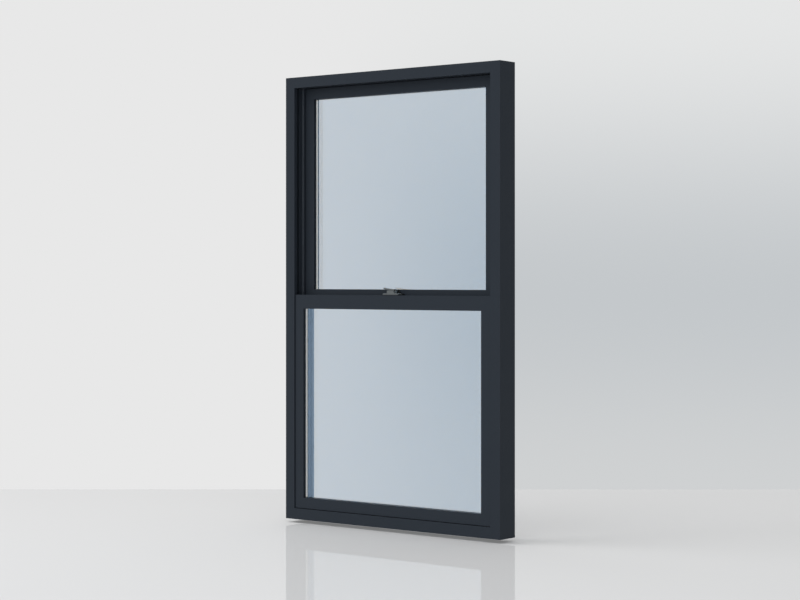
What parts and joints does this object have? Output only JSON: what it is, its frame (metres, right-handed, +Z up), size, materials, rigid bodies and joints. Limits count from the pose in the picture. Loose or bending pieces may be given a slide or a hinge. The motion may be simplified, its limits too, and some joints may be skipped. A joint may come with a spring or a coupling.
{
  "type": "double-hung sash window",
  "caption": "Dark powder-coated aluminium double-hung sash window with its frame, glazed sashes sliding on spring balances, and a cam lock and keeper on the meeting rails.",
  "frame": {"origin": "middle of the frame's underside, halfway through its depth", "axes": "+Z up, +Y towards outdoors, +X to the right as seen from the room"},
  "size_m": [0.9, 0.08, 1.5],
  "materials": {
    "coated_aluminium": "anthracite powder coat, fine satin",
    "float_glass": "clear float glass, faint blue-green",
    "bare_aluminium": "mill finish",
    "zinc_steel": "zinc-plated steel",
    "spring_steel": "rolled stainless strip",
    "nylon": "natural moulded nylon",
    "dark_nylon": "moulded nylon, dyed to match the coat",
    "black_rubber": "extruded EPDM",
    "pile": "dense grey pile",
    "cast_zinc": "satin grey plated zinc casting",
    "black_cast_zinc": "satin black zinc casting"
  },
  "bodies": {
    "frame": {"head": "coated_aluminium", "sill": "coated_aluminium", "left_jamb": "coated_aluminium", "right_jamb": "coated_aluminium", "frame_corner_screws": "zinc_steel", "access_plugs": "dark_nylon", "jamb_pile_strips": "pile", "lower_spring_strips": "spring_steel", "upper_spring_strips": "spring_steel", "spring_anchors": "nylon", "travel_stops": "nylon", "anchor_screws": "zinc_steel"},
    "lower_sash": {"lower_left_stile": "coated_aluminium", "lower_right_stile": "coated_aluminium", "lower_top_rail": "coated_aluminium", "lower_bottom_rail": "coated_aluminium", "lower_corner_screws": "zinc_steel", "lower_inner_pane": "float_glass", "lower_outer_pane": "float_glass", "lower_spacer": "bare_aluminium", "lower_setting_blocks": "nylon", "lower_cross_beads": "coated_aluminium", "lower_side_beads": "coated_aluminium", "lower_inner_gasket": "black_rubber", "lower_outer_gasket": "black_rubber", "sill_seal": "black_rubber", "lower_shoes": "nylon", "lower_spring_coils": "spring_steel", "lower_lift_bars": "zinc_steel", "lower_bar_screws": "zinc_steel", "lower_top_guides": "dark_nylon", "lock_pad": "black_rubber", "lock_base": "cast_zinc", "lock_screws": "cast_zinc"},
    "upper_sash": {"upper_left_stile": "coated_aluminium", "upper_right_stile": "coated_aluminium", "upper_top_rail": "coated_aluminium", "upper_bottom_rail": "coated_aluminium", "upper_corner_screws": "zinc_steel", "upper_inner_pane": "float_glass", "upper_outer_pane": "float_glass", "upper_spacer": "bare_aluminium", "upper_setting_blocks": "nylon", "upper_cross_beads": "coated_aluminium", "upper_side_beads": "coated_aluminium", "upper_inner_gasket": "black_rubber", "upper_outer_gasket": "black_rubber", "head_seal": "black_rubber", "meeting_pile_strip": "pile", "upper_shoes": "nylon", "upper_spring_coils": "spring_steel", "upper_lift_bars": "zinc_steel", "upper_bar_screws": "zinc_steel", "upper_top_guides": "dark_nylon", "keeper": "black_cast_zinc", "keeper_screws": "black_cast_zinc"},
    "lock": {"lock_lever": "cast_zinc", "lock_cam": "cast_zinc"}
  },
  "joints": [
    {"name": "lower_sash_slide", "type": "slide", "parent": "frame", "child": "lower_sash", "axis": [0, 0, 1], "range_m": [0, 0.61], "deforming": ["lower_spring_strips"]},
    {"name": "upper_sash_slide", "type": "slide", "parent": "frame", "child": "upper_sash", "axis": [0, 0, -1], "range_m": [0, 0.61], "deforming": ["upper_spring_strips"]},
    {"name": "lock_turn", "type": "hinge", "parent": "lower_sash", "child": "lock", "pos_m": [0, -0.0145, 0.765], "axis": [0, 0, 1], "range_deg": [0, 180]}
  ]
}
